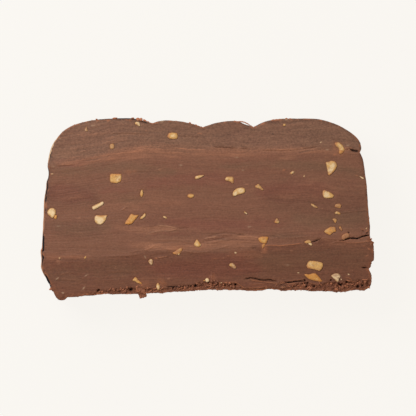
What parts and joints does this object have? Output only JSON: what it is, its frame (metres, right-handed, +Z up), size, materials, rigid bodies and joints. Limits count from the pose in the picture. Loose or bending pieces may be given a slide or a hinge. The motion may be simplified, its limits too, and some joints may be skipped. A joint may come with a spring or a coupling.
{
  "type": "gianduja bar",
  "caption": "Thick slice of moulded hazelnut gianduja, lobed along one long side, lying cut face up with chopped nut showing and a crumbled base edge.",
  "frame": {"origin": "centre of the underside, on the surface that the slice lies on", "axes": "+X along the slice, towards the end with the layer cracks; +Y towards the lobed moulded side; +Z up, out of the shown cut face"},
  "size_m": [0.1204, 0.0658, 0.0229],
  "materials": {
    "gianduja": "milk-brown gianduja, matt and streaked where the knife cut it and waxier on the moulded walls"
  },
  "bodies": {
    "root": {"gianduja_bar": "gianduja"}
  },
  "joints": []
}
